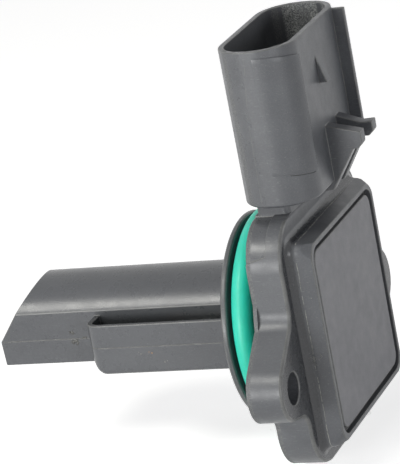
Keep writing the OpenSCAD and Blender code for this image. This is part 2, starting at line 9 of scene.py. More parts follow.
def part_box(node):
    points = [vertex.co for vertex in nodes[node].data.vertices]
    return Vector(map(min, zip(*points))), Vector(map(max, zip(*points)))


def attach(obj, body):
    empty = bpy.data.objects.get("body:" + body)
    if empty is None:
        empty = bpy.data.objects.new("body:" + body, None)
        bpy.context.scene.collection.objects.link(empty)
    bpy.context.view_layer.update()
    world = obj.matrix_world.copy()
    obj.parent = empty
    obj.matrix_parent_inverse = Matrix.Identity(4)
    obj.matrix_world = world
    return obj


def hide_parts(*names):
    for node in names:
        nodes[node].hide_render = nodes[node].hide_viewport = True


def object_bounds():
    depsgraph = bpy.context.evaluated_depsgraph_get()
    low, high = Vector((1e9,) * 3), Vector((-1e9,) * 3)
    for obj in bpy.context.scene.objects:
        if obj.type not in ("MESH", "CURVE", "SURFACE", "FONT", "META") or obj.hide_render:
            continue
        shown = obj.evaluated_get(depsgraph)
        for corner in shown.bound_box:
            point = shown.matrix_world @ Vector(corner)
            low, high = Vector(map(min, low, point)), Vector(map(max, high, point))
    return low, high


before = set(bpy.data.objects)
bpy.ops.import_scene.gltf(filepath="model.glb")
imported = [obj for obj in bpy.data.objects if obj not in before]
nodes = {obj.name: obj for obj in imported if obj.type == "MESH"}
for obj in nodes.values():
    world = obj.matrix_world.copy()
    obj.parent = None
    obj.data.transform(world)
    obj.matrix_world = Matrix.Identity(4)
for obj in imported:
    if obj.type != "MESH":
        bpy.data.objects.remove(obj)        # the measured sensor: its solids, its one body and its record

mm = 0.001
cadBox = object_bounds()
print("frame loaded,", len(nodes), "solids to dress")


def boxOf(nodeName):
    # a solid's lowest and highest corners, in millimetres
    low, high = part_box(nodeName)
    return np.array(low) / mm, np.array(high) / mm


probeLow, _ = boxOf("probe_body")
coverLow, coverHigh = boxOf("bypass_cover")
housingLow, housingHigh = boxOf("housing")
seatLow, seatHigh = boxOf("lid_sealant")
lidLow, lidHigh = boxOf("lid")
ringLow, ringHigh = boxOf("sealing_ring")


def newMaterial(name):
    material = bpy.data.materials.new(name)
    material.use_nodes = True
    tree = material.node_tree
    return material, tree, tree.nodes["Principled BSDF"]


def addNode(tree, kind, inputs=None, **settings):
    # inputs hold plain values or sockets to link; settings are the node's own properties
    node = tree.nodes.new(kind)
    for key, value in settings.items():
        setattr(node, key, value)
    for key, value in (inputs or {}).items():
        if isinstance(value, bpy.types.NodeSocket):
            tree.links.new(value, node.inputs[key])
        else:
            node.inputs[key].default_value = value
    return node


def mixColours(tree, amount, first, second):
    mix = addNode(tree, "ShaderNodeMix", data_type="RGBA")
    for socket, value in ((mix.inputs[0], amount), (mix.inputs[6], first), (mix.inputs[7], second)):
        if isinstance(value, bpy.types.NodeSocket):
            tree.links.new(value, socket)
        else:
            socket.default_value = value if socket is mix.inputs[0] else (*value[:3], 1)
    return mix.outputs[2]


def maths(tree, operation, first, second):
    return addNode(tree, "ShaderNodeMath", {0: first, 1: second}, operation=operation).outputs[0]


def spread(tree, value, low, high, toLow=0.0, toHigh=1.0):
    return addNode(tree, "ShaderNodeMapRange", {
        "Value": value, "From Min": low, "From Max": high, "To Min": toLow, "To Max": toHigh}).outputs[0]


def noiseAt(tree, place, size, detail=3.0, roughness=0.5):
    # size is the width of one blotch in millimetres
    return addNode(tree, "ShaderNodeTexNoise", {
        "Vector": place, "Scale": 1000 / size, "Detail": detail, "Roughness": roughness}).outputs["Fac"]


def specksAt(tree, place, cell, radius, share):
    # round specks: within radius of a cell's point, in the share of cells whose random value is highest
    cells = addNode(tree, "ShaderNodeTexVoronoi", {"Vector": place, "Scale": 1000 / cell, "Randomness": 1.0})
    near = spread(tree, cells.outputs["Distance"], radius / cell, 0.6 * radius / cell)
    pick = addNode(tree, "ShaderNodeSeparateColor", {"Color": cells.outputs["Color"]}).outputs[0]
    return maths(tree, "MULTIPLY", near, spread(tree, pick, 1 - share, 1 - share + 0.001))


def objectPlace(tree, stretch=(1, 1, 1), turn=(0, 0, 0)):
    place = addNode(tree, "ShaderNodeTexCoord").outputs["Object"]
    if stretch == (1, 1, 1) and turn == (0, 0, 0):
        return place
    return addNode(tree, "ShaderNodeMapping", {
        "Vector": place, "Scale": stretch, "Rotation": turn}).outputs[0]


def withinBox(tree, place, sides, soft):
    # 1 inside the given sides, falling to 0 from the soft distance within a side to as far past it; a side is
    # an axis, a place on it in mm, and +1 for above it or -1 for below it
    parts = addNode(tree, "ShaderNodeSeparateXYZ", {"Vector": place}).outputs
    mask = None
    for axis, edge, facing in sides:
        start, end = (edge - facing * soft) * mm, (edge + facing * soft) * mm
        step = spread(tree, parts["XYZ".index(axis)], start, end)
        mask = step if mask is None else maths(tree, "MULTIPLY", mask, step)
    return mask


def bumpFrom(tree, shader, heights):
    # each entry is (height socket, depth in millimetres)
    normal = None
    for height, depth in heights:
        inputs = {"Height": height, "Distance": depth * mm, "Strength": 1.0}
        if normal is not None:
            inputs["Normal"] = normal
        normal = addNode(tree, "ShaderNodeBump", inputs).outputs[0]
    tree.links.new(normal, shader.inputs["Normal"])


def placed(name, data):
    thing = bpy.data.objects.new(name, data)
    bpy.context.scene.collection.objects.link(thing)
    return thing


def easeEdges(piece, width, segments, **settings):
    # rounds edges by the given width in mm, then keeps the flat faces flat in their shading
    bevel = piece.modifiers.new("easedEdges", "BEVEL")
    bevel.width = width * mm
    bevel.segments = segments
    for key, value in settings.items():
        setattr(bevel, key, value)
    shading = piece.modifiers.new("flatShading", "WEIGHTED_NORMAL")
    shading.keep_sharp = True


def newPiece(name, vertices, faces, material, slotName, *replaced):
    # vertices come in millimetres; points that coincide, as at a ball's poles, become one, and every piece is
    # closed, so its faces can be turned outwards
    mesh = bpy.data.meshes.new(name)
    mesh.from_pydata((np.asarray(vertices, float) * mm).tolist(), [], faces)
    work = bmesh.new()
    work.from_mesh(mesh)
    bmesh.ops.remove_doubles(work, verts=work.verts, dist=1e-8)
    bmesh.ops.recalc_face_normals(work, faces=work.faces)
    work.to_mesh(mesh)
    work.free()
    mesh.polygons.foreach_set("use_smooth", np.full(len(mesh.polygons), True))
    mesh.materials.append(material)
    piece = placed(name, mesh)
    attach(piece, "root")
    if replaced:
        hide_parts(*replaced)
    return piece


def gridFaces(rows, columns, closedRows=False, closedColumns=False):
    # quads between neighbouring points of a rows x columns grid, wrapped where a side is closed
    r = np.arange(rows if closedRows else rows - 1)
    c = np.arange(columns if closedColumns else columns - 1)
    r, c = np.meshgrid(r, c, indexing="ij")
    nextR, nextC = (r + 1) % rows, (c + 1) % columns
    corners = [r * columns + c, nextR * columns + c, nextR * columns + nextC, r * columns + nextC]
    return np.stack(corners, -1).reshape(-1, 4).tolist()


def tubeFaces(rows, columns, closed=False):
    # quads round a grid whose rows are closed; an open tube gets an end face at each end
    faces = gridFaces(rows, columns, closed, True)
    if not closed:
        faces += [list(range(columns)), list(range((rows - 1) * columns, rows * columns))]
    return faces


def carried(path, across, upward, profile, closed=False):
    # a closed profile carried along a path: point (i, j) is path i plus across i times the profile's first
    # number plus upward i times its second
    profile = np.broadcast_to(profile, (len(path), *np.shape(profile)[-2:]))
    grid = path[:, None] + across[:, None] * profile[..., :1] + upward[:, None] * profile[..., 1:]
    return grid.reshape(-1, 3), tubeFaces(*grid.shape[:2], closed)


def joined(parts):
    # several (vertices, faces) as one
    vertices, faces, start = [], [], 0
    for points, quads in parts:
        vertices.append(points)
        faces += [[start + i for i in quad] for quad in quads]
        start += len(points)
    return np.concatenate(vertices), faces


def roughRun(count, width, seed):
    # a random run from 0 to 1 whose neighbours are averaged over a bell of the given width
    bell = np.hanning(2 * width + 1)
    raw = np.random.default_rng(seed).random(count + 2 * width)
    run = np.convolve(raw, bell / bell.sum(), "valid")[:count]
    return (run - run.min()) / (run.max() - run.min())


def roundedLoop(width, height, radius, arcSteps, sideSteps):
    # round a rectangle with round corners: a corner is its centre plus radius times the facing direction, and
    # straight runs join the corners; gives the points and the directions that face outwards
    centres = np.array([(1, 1), (-1, 1), (-1, -1), (1, -1)]) * (width / 2 - radius, height / 2 - radius)
    points, outward = [], []
    for k, centre in enumerate(centres):
        turn = math.pi / 2 * (k + np.linspace(0, 1, arcSteps))
        facing = np.stack([np.cos(turn), np.sin(turn)], 1)
        side = (centres[(k + 1) % 4] - centre) * np.linspace(0, 1, sideSteps + 2)[1:-1, None]
        points += [centre + radius * facing, centre + radius * facing[-1] + side]
        outward += [facing, np.repeat(facing[-1:], sideSteps, 0)]
    return np.concatenate(points), np.concatenate(outward)


plasticLook = {
    "dark": (0.085, 0.089, 0.098),      # the moulded grey between its paler blotches
    "light": (0.114, 0.119, 0.129),
    "blotch": 9.0,                      # width of a blotch, mm
    "grain": 0.24,                      # width of the moulded grain, mm
    "grainDepth": 0.010,                # mm
    "grainShare": 0.3,                  # how strongly the grain's tops are paler and its pits darker
    "haze": 2.2,                        # width of a patch of other gloss, mm
    "roughness": (0.32, 0.44),
    "specular": 0.5,
    "dust": (0.45, 0.46, 0.44),
    "dustShare": 0.10,                  # share of the large cells that hold a dust speck
    "dustCell": 3.4,                    # mm
    "dustSpeck": 0.085,                 # radius, mm
    "fineShare": 0.16,                  # the same for fine dust
    "fineCell": 1.1,
    "fineSpeck": 0.06,
    "hairs": 0.25,                      # how strongly fine glass fibres show
    "fibre": 0.16,                      # width of a fibre, mm
    "softDepth": 0.02,                  # depth of the blotches and height of the dust, mm
}


def mouldedPlastic(name, look, zones=(), **changes):
    # a zone may tint the plastic, by one share where the grain is thin and another where it is thick, and may
    # change its gloss
    look = {**look, **changes}
    material, tree, shader = newMaterial(name)
    place = objectPlace(tree)
    flow = objectPlace(tree, stretch=(0.35, 1, 1))
    alongFibres = objectPlace(tree, stretch=(0.16, 1, 1), turn=(0.3, 0.5, 0.4))
    blotches = noiseAt(tree, flow, look["blotch"], 4.0, 0.55)
    grain = noiseAt(tree, place, look["grain"], 2.0, 0.6)
    haze = noiseAt(tree, place, look["haze"], 3.0, 0.6)
    fibres = noiseAt(tree, alongFibres, look["fibre"], 2.0, 0.5)
    pale = tuple(1.4 * c for c in look["light"])
    deep = tuple(0.6 * c for c in look["dark"])
    colour = mixColours(tree, spread(tree, blotches, 0.32, 0.68), look["dark"], look["light"])
    colour = mixColours(tree, spread(tree, grain, 0.5, 0.85, 0.0, look["grainShare"]), colour, pale)
    colour = mixColours(tree, spread(tree, grain, 0.5, 0.15, 0.0, look["grainShare"]), colour, deep)
    colour = mixColours(tree, spread(tree, fibres, 0.6, 0.85, 0.0, look["hairs"]), colour, look["dust"])
    roughness = spread(tree, haze, 0.3, 0.7, *look["roughness"])
    for zone in zones:
        inside = withinBox(tree, place, zone["sides"], zone["soft"])
        if "tint" in zone:
            patchy = maths(tree, "MULTIPLY", inside, spread(tree, grain, 0.3, 0.7, *zone["shares"]))
            colour = mixColours(tree, patchy, colour, zone["tint"])
        if "gloss" in zone:
            wanted = spread(tree, haze, 0.3, 0.7, *zone["gloss"])
            difference = maths(tree, "SUBTRACT", wanted, roughness)
            roughness = maths(tree, "ADD", roughness, maths(tree, "MULTIPLY", difference, inside))
    dust = specksAt(tree, place, look["dustCell"], look["dustSpeck"], look["dustShare"])
    fine = specksAt(tree, place, look["fineCell"], look["fineSpeck"], look["fineShare"])
    colour = mixColours(tree, spread(tree, fine, 0, 1, 0, 0.7), colour, look["dust"])
    colour = mixColours(tree, spread(tree, dust, 0, 1, 0, 0.75), colour, look["dust"])
    tree.links.new(colour, shader.inputs["Base Color"])
    tree.links.new(roughness, shader.inputs["Roughness"])
    shader.inputs["Specular IOR Level"].default_value = look["specular"]
    bumpFrom(tree, shader, [
        (blotches, look["softDepth"]), (grain, look["grainDepth"]), (dust, look["softDepth"])])
    return material


reliefZone = {      # the smooth panel in the plate's near corner
    "sides": [("X", 3.7, -1), ("Z", 17.6, 1), ("Y", -13.4, -1)],
    "soft": 0.05,
    "gloss": (0.24, 0.36),
}
farWallZone = {     # paler patches on the upper part of the far wall inside the socket
    "sides": [("Z", 44.5, 1), ("Y", 12.0, 1), ("Y", 14.75, -1), ("X", 7.9, -1), ("X", 1.5, 1)],
    "soft": 0.2,
    "tint": (0.38, 0.39, 0.38),
    "shares": (-0.45, 1.2),
}
farBendZone = {     # and the bend beside it
    **farWallZone,
    "sides": [("Z", 44.5, 1), ("Y", 8.6, 1), ("Y", 13.2, -1), ("X", 9.9, -1), ("X", 8.0, 1)],
}
landZone = {        # the round land that seats on the pipe, left rough
    "sides": [("X", 0.9, -1), ("X", -0.1, 1)],
    "soft": 0.05,
    "tint": (0.20, 0.20, 0.19),
    "shares": (-0.3, 0.7),
    "gloss": (0.5, 0.62),
}
footShadeZone = {        # painted shade in the valley round the box's foot, with a glossier finish
    "sides": [("X", 6.4, 1), ("X", 7.9, -1), ("Z", 19.5, -1)],
    "soft": 0.3,
    "tint": (0.040, 0.042, 0.046),
    "shares": (0.7, 1.0),
    "gloss": (0.20, 0.30),
}
pocketShadeZone = {      # painted shade inside the probe's pocket
    "sides": [("X", -36.0, 1), ("Y", -13.3, 1), ("Y", -8.45, -1), ("Z", 5.3, -1)],
    "soft": 0.2,
    "tint": (0.034, 0.038, 0.040),
    "shares": (0.8, 1.0),
}

housingPlastic = mouldedPlastic(
    "housingPlastic", plasticLook, zones=[reliefZone, farWallZone, farBendZone, landZone, footShadeZone])
# paler, glossier plastic for rounded edges and flash: partly real wear, partly a painted highlight along each
# edge
edgeWearAndHighlight = mouldedPlastic(
    "edgeWearAndHighlight", plasticLook, dark=(0.105, 0.108, 0.110), light=(0.16, 0.162, 0.16),
    blotch=1.6, roughness=(0.28, 0.42), dustShare=0.2)
probePlastic = mouldedPlastic(
    "probePlastic", plasticLook, zones=[pocketShadeZone], blotch=14.0, roughness=(0.25, 0.33),
    grainDepth=0.006, hairs=0.12)
lidPlastic = mouldedPlastic(
    "lidPlastic", plasticLook, dark=(0.138, 0.139, 0.153), light=(0.168, 0.169, 0.183),
    grain=0.16, grainDepth=0.005, roughness=(0.40, 0.52), hairs=0.1)
flashPlastic = mouldedPlastic(
    "flashPlastic", plasticLook, dark=(0.20, 0.20, 0.19), light=(0.46, 0.46, 0.42),
    blotch=0.8, grain=0.12, roughness=(0.35, 0.55), dustShare=0.4)
tornPlastic = mouldedPlastic(
    "tornPlastic", plasticLook, dark=(0.030, 0.031, 0.032), light=(0.17, 0.17, 0.16),
    blotch=0.7, grain=0.12, roughness=(0.25, 0.5), dustShare=0.4)
# near-black plastic for painted shadow lines
paintedShadowLine = mouldedPlastic(
    "paintedShadowLine", plasticLook, dark=(0.018, 0.019, 0.020), light=(0.045, 0.046, 0.047),
    blotch=0.5, grain=0.12, roughness=(0.5, 0.7), dustShare=0.0)

ringLook = {
    "colour": (0.006, 0.68, 0.50),
    "deep": (0.004, 0.60, 0.43),
    "roughness": (0.40, 0.55),
    "specular": 0.8,
    "cloud": 6.0,                       # width of a patch of the second colour, mm
    "film": 0.5,                        # width of a patch of other gloss, mm
    "speck": (0.6, 0.8, 0.75),
    "speckShare": 0.15,                 # share of the cells that hold a pale speck
    "speckCell": 2.6,                   # mm
    "speckRadius": 0.06,                # mm
    "glow": 0.5,                        # how much light the rubber lets in and gives back
    "glowReach": (0.4, 2.2, 1.8),       # how far red, green and blue travel in it, mm
    "turnSteps": 320,
    "sectionSteps": 48,
    "flash": 0.03,                      # height of the parting flash on the outer and inner edge, mm
    "flashWidth": 0.10,                 # half of its width, as an angle in radians
    "wave": 0.012,                      # how much the rubber's surface wanders, mm
}


def ringRubber(name, look):
    material, tree, shader = newMaterial(name)
    place = objectPlace(tree)
    cloud = noiseAt(tree, place, look["cloud"], 2.0)
    film = noiseAt(tree, place, look["film"], 3.0)
    specks = specksAt(tree, place, look["speckCell"], look["speckRadius"], look["speckShare"])
    colour = mixColours(tree, spread(tree, cloud, 0.3, 0.7), look["colour"], look["deep"])
    colour = mixColours(tree, specks, colour, look["speck"])
    tree.links.new(colour, shader.inputs["Base Color"])
    tree.links.new(spread(tree, film, 0.3, 0.7, *look["roughness"]), shader.inputs["Roughness"])
    shader.inputs["Specular IOR Level"].default_value = look["specular"]
    shader.inputs["Subsurface Weight"].default_value = look["glow"]
    shader.inputs["Subsurface Radius"].default_value = look["glowReach"]
    shader.inputs["Subsurface Scale"].default_value = mm
    bumpFrom(tree, shader, [(film, 0.004), (cloud, 0.02)])
    return material


ringMaterial = ringRubber("ringRubber", ringLook)

beadLook = {
    "colour": (0.020, 0.021, 0.023),
    "pale": (0.040, 0.041, 0.043),
    "roughness": (0.38, 0.55),
    "skin": 0.8,                        # width of a wrinkle in its skin, mm
    "middleShare": 0.55,                # height of the bead's middle, as a share of its edges
    "ripple": 0.07,                     # mm
    "bell": 9,                          # over how many points on each side the ripple is averaged
    "seed": 3,
    "innerCorner": 2.325,               # radius of the lid's corners, mm
    "outerCorner": 2.75,                # radius of the rim's corners, mm
    "columns": 9,
    "cornerPoints": 16,
    "sidePoints": 110,
}


def siliconeBead(name, look):
    material, tree, shader = newMaterial(name)
    place = objectPlace(tree)
    skin = noiseAt(tree, place, look["skin"], 3.0)
    colour = mixColours(tree, spread(tree, skin, 0.3, 0.7), look["colour"], look["pale"])
    tree.links.new(colour, shader.inputs["Base Color"])
    tree.links.new(spread(tree, skin, 0.3, 0.7, *look["roughness"]), shader.inputs["Roughness"])
    bumpFrom(tree, shader, [(skin, 0.04)])
    return material


beadMaterial = siliconeBead("sealantSilicone", beadLook)


def hardFinish(name, colour, worn, roughness, brush=(1, 1, 1), metallic=1.0, scale=0.6):
    # metal or glaze: tone drifts between two colours, fine lines along one way break the gloss
    material, tree, shader = newMaterial(name)
    place = objectPlace(tree, stretch=brush)
    drift = noiseAt(tree, place, scale * 4, 3.0)
    lines = noiseAt(tree, place, scale, 4.0, 0.65)
    tone = mixColours(tree, spread(tree, drift, 0.35, 0.7), colour, worn)
    tree.links.new(tone, shader.inputs["Base Color"])
    tree.links.new(spread(tree, lines, 0.3, 0.7, *roughness), shader.inputs["Roughness"])
    shader.inputs["Metallic"].default_value = metallic
    bumpFrom(tree, shader, [(lines, 0.004)])
    return material


finishLook = {
    # two tones, the range of roughness, and what differs from unbrushed metal
    "tinnedMetal": ((0.70, 0.69, 0.66), (0.52, 0.51, 0.48), (0.22, 0.42), {"brush": (1, 1, 0.08)}),
    "rolledAluminium": ((0.74, 0.75, 0.77), (0.60, 0.61, 0.63), (0.28, 0.48), {"brush": (1, 0.06, 1)}),
    "goldStrip": ((0.83, 0.62, 0.25), (0.68, 0.48, 0.18), (0.2, 0.36), {}),
    "firedBoard": ((0.82, 0.80, 0.74), (0.74, 0.71, 0.63), (0.42, 0.6), {"metallic": 0.0, "scale": 1.2}),
    "chipBlack": ((0.026, 0.026, 0.027), (0.04, 0.04, 0.04), (0.45, 0.62), {"metallic": 0.0, "scale": 0.3}),
    "tanCeramic": ((0.55, 0.38, 0.20), (0.46, 0.31, 0.16), (0.35, 0.5), {"metallic": 0.0, "scale": 0.3}),
    "darkGlaze": ((0.05, 0.05, 0.06), (0.09, 0.09, 0.10), (0.25, 0.4), {"metallic": 0.0, "scale": 0.3}),
    "whiteCore": ((0.86, 0.86, 0.84), (0.74, 0.74, 0.70), (0.2, 0.4), {"metallic": 0.0, "scale": 0.2}),
    "dippedResin": ((0.24, 0.11, 0.05), (0.16, 0.07, 0.03), (0.12, 0.28), {"metallic": 0.0, "scale": 0.7}),
    "paleChip": ((0.42, 0.42, 0.38), (0.24, 0.24, 0.22), (0.4, 0.6), {"metallic": 0.0, "scale": 0.2}),
    "copperChip": ((0.72, 0.38, 0.12), (0.45, 0.22, 0.08), (0.3, 0.5), {"metallic": 0.6, "scale": 0.2}),
}
hard = {name: hardFinish(name, colour, worn, roughness, **changes)
        for name, (colour, worn, roughness, changes) in finishLook.items()}

gelLook = {
    "colour": (0.60, 0.68, 0.74),
    "pale": (0.70, 0.76, 0.80),
    "roughness": (0.08, 0.2),
    "cloud": 3.0,           # width of a patch of the second colour, mm
    "clearness": 0.7,
    "bending": 1.41,        # how strongly it bends light
}


def clearGel(name, look):
    material, tree, shader = newMaterial(name)
    cloud = noiseAt(tree, objectPlace(tree), look["cloud"], 3.0)
    colour = mixColours(tree, spread(tree, cloud, 0.3, 0.7), look["colour"], look["pale"])
    tree.links.new(colour, shader.inputs["Base Color"])
    tree.links.new(spread(tree, cloud, 0.3, 0.7, *look["roughness"]), shader.inputs["Roughness"])
    shader.inputs["Transmission Weight"].default_value = look["clearness"]
    shader.inputs["IOR"].default_value = look["bending"]
    bumpFrom(tree, shader, [(cloud, 0.05)])
    return material


gelMaterial = clearGel("clearGel", gelLook)

nodeFinish = {
    "housing": housingPlastic, "probe_body": probePlastic, "bypass_cover": probePlastic, "lid": lidPlastic,
    "lid_sealant": beadMaterial, "sealing_ring": ringMaterial, "base_plate": hard["rolledAluminium"],
    "circuit_board": hard["firedBoard"], "control_chip": hard["chipBlack"],
    "amplifier_chip": hard["chipBlack"], "capacitors": hard["tanCeramic"], "resistors": hard["darkGlaze"],
    "sensing_posts": hard["tinnedMetal"], "hot_element": hard["whiteCore"],
    "cold_element": hard["whiteCore"], "temperature_bead": hard["dippedResin"],
    "bead_leads": hard["tinnedMetal"], "bonding_straps": hard["goldStrip"], "gel_filling": gelMaterial,
    **{f"terminal_{i}": hard["tinnedMetal"] for i in range(1, 7)},
}
for nodeName, finish in nodeFinish.items():
    mesh = nodes[nodeName].data
    if not mesh.materials:
        mesh.materials.append(finish)
    for i in range(len(mesh.materials)):
        mesh.materials[i] = finish
print("materials ready,", len(nodeFinish), "solids finished")


easing = {
    "weld": 0.002,          # points closer than this, in mm, are one
    "flat": 0.4,            # faces that meet at less than this many degrees are one
    "crease": 24,           # two faces that meet at more degrees than this make an edge
    "easedShare": 0.3,      # share of the way across a face that a rounding may take towards an eased edge
    "plainShare": 0.8,      # and towards a plain one, on faces of at least this many corners
    "plainCorners": 9,
    "runBend": 35,          # a run of edges may bend by less than this many degrees at each vertex
    "leastSoft": 0.015,     # an edge rounded by less than this, in mm, stays sharp in its shading
}


def roomBeside(edge, loop, wanted):
    # how wide the rounding may be on the loop's face: a share of the way straight across to the next border,
    # from the edge's middle
    start, end = loop.vert.co, loop.link_loop_next.vert.co
    middle = (start + end) / 2
    along = (end - start).normalized()
    inward = loop.face.normal.cross(along)
    room = 1.0
    for border in loop.face.edges:
        eased = wanted.get(border, 0) > 0
        if border is edge or not eased and len(loop.face.verts) < easing["plainCorners"]:
            continue
        share = easing["easedShare"] if eased else easing["plainShare"]
        p, q = (v.co - middle for v in border.verts)
        u, w = p.dot(along), q.dot(along)
        if u * w > 0 or u == w:
            continue
        reach = (p.dot(inward) * w - q.dot(inward) * u) / (w - u)
        if reach > 1e-7:
            room = min(room, share * reach)
    return room / mm


def goesOn(edge, other, vertex):
    # whether the other edge carries the edge on past their shared vertex, without a sharp bend
    before, after = vertex.co - edge.other_vert(vertex).co, other.other_vert(vertex).co - vertex.co
    return edge.is_convex == other.is_convex and before.angle(after, 0) < math.radians(easing["runBend"])


def evenRuns(width):
    # edges that carry each other on make a run, and all take its smallest rounding, because a width that
    # changes round a bend makes spikes
    done = set()
    for first in [edge for edge in width if width[edge] > 0]:
        if first in done:
            continue
        run, ends = [first], [first]
        done.add(first)
        while ends:
            edge = ends.pop()
            for vertex in edge.verts:
                eased = [e for e in vertex.link_edges if width.get(e, 0) > 0]
                for other in eased if len(eased) == 2 else []:
                    if other not in done and goesOn(edge, other, vertex):
                        run.append(other)
                        ends.append(other)
                        done.add(other)
        least = min(width[edge] for edge in run)
        for edge in run:
            width[edge] = least


def easedCopy(nodeName, name, finish, edgeFinish, easeOf, segments=2):
    # merges the solid's loose triangles, joins flat ones into faces, and rounds each edge by easeOf(edge)
    # millimetres, or by less where a face beside its run of edges is narrow
    mesh = nodes[nodeName].data.copy()
    mesh.name = name
    mesh.materials.clear()
    mesh.materials.append(finish)
    mesh.materials.append(edgeFinish)
    work = bmesh.new()
    work.from_mesh(mesh)
    bmesh.ops.remove_doubles(work, verts=work.verts, dist=easing["weld"] * mm)
    bmesh.ops.dissolve_limit(
        work, angle_limit=math.radians(easing["flat"]), verts=work.verts, edges=work.edges)
    layers = work.edges.layers.float
    weights = layers.get("bevel_weight_edge") or layers.new("bevel_weight_edge")
    for face in work.faces:
        face.smooth = True
        face.material_index = 0
    crease = math.radians(easing["crease"])
    wanted = {edge: easeOf(edge) for edge in work.edges if edge.calc_face_angle(0) > crease}
    width = {edge: min(ease, *(roomBeside(edge, loop, wanted) for loop in edge.link_loops))
             for edge, ease in wanted.items()}
    evenRuns(width)
    for edge, ease in width.items():
        edge[weights] = ease
        edge.smooth = ease > easing["leastSoft"]
    work.to_mesh(mesh)
    work.free()
    piece = placed(name, mesh)
    # the rounded faces take the edge finish; on the moulded solids it is paler and paints a highlight along
    # each edge
    easeEdges(piece, 1, segments, limit_method="WEIGHT", use_clamp_overlap=False, miter_outer="MITER_SHARP",
              material=1)
    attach(piece, "root")
    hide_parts(nodeName)


near = 0.02                 # two places closer than this, in mm, count as one

housingEase = {
    # how far each kind of edge is rounded, mm
    "plateFront": 0.6,
    "landRim": 0.25,        # the rim of the round land that seats on the pipe
    "hole": 0.25,
    "mouth": 0.16,
    "general": 0.2,
    "inside": 0.12,
}
housingPlaces = {
    # where those edges lie, mm
    "landX": 0,             # the round land's face
    "backX": 0.8,           # the plate's back, behind the land
    "frontX": 6.6,          # the plate's front face
    "frontTop": 22.5,       # above it the neck's foot begins, and the front face's edges stay sharp
    "frontOut": 18,         # its outer edge lies further out than this
    "hole": (26.2, -4.3, 3.2),      # y and z of the screw hole and a reach that takes in its rim
    "mouthZ": 52.5,         # the socket's mouth lies above this
    "boxFootX": 8.3,        # the box's corners run forward from here
    "boxMiddle": (-0.3, 19.2),      # the z halfway up the box, and how far from it its straight corners reach
}


def easeOfHousing(edge):
    places = housingPlaces
    a, b = (v.co / mm for v in edge.verts)
    if abs(a.x - places["backX"]) < near and abs(b.x - places["backX"]) < near:
        return 0.0          # what the land leaves of the plate's back is too thin a crescent to ease
    if not edge.is_convex:
        return housingEase["inside"]
    x = (a.x + b.x) / 2
    y, z = abs(a.y + b.y) / 2, (a.z + b.z) / 2
    if abs(a.x - places["frontX"]) < near and abs(b.x - places["frontX"]) < near:
        holeY, holeZ, holeReach = places["hole"]
        if math.hypot(y - holeY, z - holeZ) < holeReach:
            return housingEase["hole"]
        if max(a.z, b.z) > places["frontTop"]:
            return 0.0
        return housingEase["plateFront"] if max(y, abs(z)) > places["frontOut"] else housingEase["general"]
    if abs(x - places["landX"]) < near:
        return housingEase["landRim"]
    if z > places["mouthZ"]:
        return housingEase["mouth"]
    middleZ, halfZ = places["boxMiddle"]
    if places["boxFootX"] < max(a.x, b.x) and abs(a.x - b.x) > near / 2 and abs(z - middleZ) < halfZ:
        return 0.0          # where the box's round rim runs down into its near sharp foot
    return housingEase["general"]


probeEase = {
    # how far each kind of edge is rounded, mm
    "seam": 0.12,
    "underPocket": 0.9,     # the long edge below the pocket, on the near side
    "general": 0.2,
    "inside": 0.1,
    "belowZ": -0.3,         # that edge lies below this height
    "nearY": -9,            # and nearer than this
}


def easeOfProbe(edge):
    a, b = (v.co / mm for v in edge.verts)
    if max(abs(a.z), abs(b.z)) < near:
        return probeEase["seam"]
    if not edge.is_convex:
        return probeEase["inside"]
    below = max(a.z, b.z) < probeEase["belowZ"] and max(a.y, b.y) < probeEase["nearY"]
    return probeEase["underPocket"] if below and abs(a.x - b.x) > near else probeEase["general"]


lidEase = {"outside": 0.28, "inside": 0.1}      # mm
bladeEase = 0.08                                # mm


def easeOfLid(edge):
    return lidEase["outside"] if edge.is_convex else lidEase["inside"]


easedCopy("housing", "mouldedHousing", housingPlastic, edgeWearAndHighlight, easeOfHousing)
easedCopy("probe_body", "mouldedProbe", probePlastic, edgeWearAndHighlight, easeOfProbe)
easedCopy("bypass_cover", "mouldedCover", probePlastic, probePlastic, easeOfProbe, 4)
easedCopy("lid", "lidPanel", lidPlastic, edgeWearAndHighlight, easeOfLid)
tinned = hard["tinnedMetal"]
for i in range(1, 7):
    easedCopy(f"terminal_{i}", f"terminalBlade{i}", tinned, tinned, lambda edge: bladeEase)
print("moulded solids eased")


def sealingRing(look):
    # a torus: at turn t and section angle s the point lies at x + r sin s along the probe and R + r cos s
    # from its axis, where r is the section's radius plus a ridge of flash at s = 0 and s = pi and a wander
    turn, section = np.meshgrid(
        np.linspace(0, 2 * np.pi, look["turnSteps"], endpoint=False),
        np.linspace(0, 2 * np.pi, look["sectionSteps"], endpoint=False), indexing="ij")
    thick = (ringHigh[0] - ringLow[0]) / 2
    centre = (ringHigh[0] + ringLow[0]) / 2
    ridge = np.exp(-(np.sin(section) / look["flashWidth"]) ** 2) * look["flash"]
    wander = look["wave"] * np.sin(5 * turn + 2 * np.cos(section)) * np.cos(3 * section + turn)
    radius = thick - look["flash"] + ridge + wander
    reach = ringHigh[1] - thick + radius * np.cos(section)
    points = np.stack([centre + radius * np.sin(section), reach * np.cos(turn), reach * np.sin(turn)], -1)
    return points.reshape(-1, 3), gridFaces(*turn.shape, True, True)


newPiece("sealingRing", *sealingRing(ringLook), ringMaterial, "ring_rubber", "sealing_ring")


